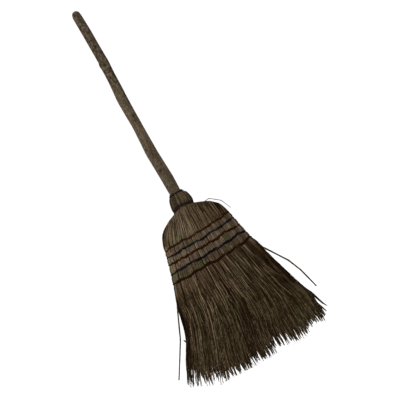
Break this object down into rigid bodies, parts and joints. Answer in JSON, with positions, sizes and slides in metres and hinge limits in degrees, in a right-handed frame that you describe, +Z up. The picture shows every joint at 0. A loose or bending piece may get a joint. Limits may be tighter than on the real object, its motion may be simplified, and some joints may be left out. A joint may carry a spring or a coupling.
{
  "type": "straw broom",
  "caption": "Sewn straw broom: crooked wooden stick, wire-bound stalk collar, flat head held by coloured twine seams, flared sweep of free straw ends that bend and spring back.",
  "frame": {"origin": "centre of the object's outline on the floor, under the straw tips", "axes": "+Z up along the stick from the tips to the stick's end, X across the wide face with the picture's right at +X, the pictured face towards -Y"},
  "size_m": [0.39, 0.098, 0.972],
  "materials": {
    "stick_wood": "bare weathered wood",
    "cover_straw": "dull aged straw",
    "inner_straw": "dull aged straw",
    "sweep_straw": "dark dusty straw",
    "collar_straw": "dull aged straw stalks",
    "red_twine": "faded dark red twine",
    "navy_twine": "faded navy twine",
    "iron_wire": "dark rusted wire",
    "tack_steel": "dull nail"
  },
  "bodies": {
    "broom": {"handle": "stick_wood", "wire_tacks": "tack_steel", "core_straw": "inner_straw", "left_shoulder_straw": "inner_straw", "right_shoulder_straw": "inner_straw", "front_cover_straw": "cover_straw", "back_cover_straw": "cover_straw", "collar_stalks": "collar_straw", "core_binding_wire": "iron_wire", "shoulder_binding_wire": "iron_wire", "neck_binding_wire": "iron_wire", "collar_binding_wire": "iron_wire", "seam_band_1": "red_twine", "seam_band_2": "navy_twine", "seam_band_3": "red_twine", "seam_band_4": "navy_twine", "seam_band_5": "red_twine", "seam_stitches_1": "red_twine", "seam_stitches_2": "navy_twine", "seam_stitches_3": "red_twine", "seam_stitches_4": "navy_twine", "seam_stitches_5": "red_twine", "shoulder_stray_straw": "cover_straw"},
    "sweep": {"core_ends": "sweep_straw", "left_shoulder_ends": "sweep_straw", "right_shoulder_ends": "sweep_straw", "front_cover_ends": "sweep_straw", "back_cover_ends": "sweep_straw", "left_stray_straw": "sweep_straw", "right_stray_straw": "sweep_straw"}
  },
  "joints": [
    {"name": "straw_flex", "type": "hinge", "parent": "broom", "child": "sweep", "pos_m": [0, 0, 0.225], "axis": [1, 0, 0], "range_deg": [-20, 20], "stiffness_Nm_per_rad": 12}
  ]
}
